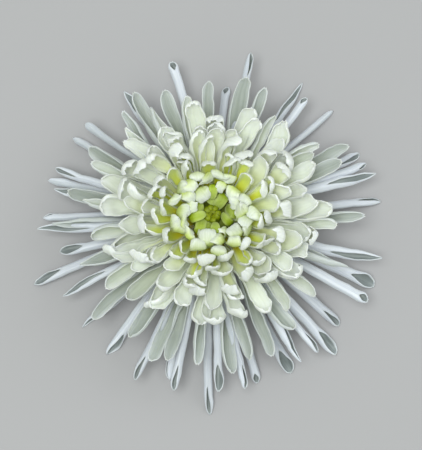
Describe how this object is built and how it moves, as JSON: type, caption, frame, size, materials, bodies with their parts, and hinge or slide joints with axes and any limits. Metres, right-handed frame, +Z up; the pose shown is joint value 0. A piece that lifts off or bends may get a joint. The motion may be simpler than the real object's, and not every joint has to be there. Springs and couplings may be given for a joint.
{
  "type": "spider chrysanthemum bloom",
  "caption": "White spider chrysanthemum bloom with long quilled outer florets, a dense dome of spooned florets and a green eye, lying face up.",
  "frame": {"origin": "middle of the bloom's spread, on the surface that it lies on", "axes": "+Z up out of the bloom's face, along its stem; +X to the right and +Y away in the view from its front"},
  "size_m": [0.1238, 0.1284, 0.043],
  "materials": {
    "ray_petal": "soft, slightly translucent petal",
    "eye_petal": "soft young petal",
    "green_stem": "matte leaf"
  },
  "bodies": {
    "root": {"ray_florets": "ray_petal", "eye_florets": "eye_petal", "stem_and_bracts": "green_stem"}
  },
  "joints": []
}
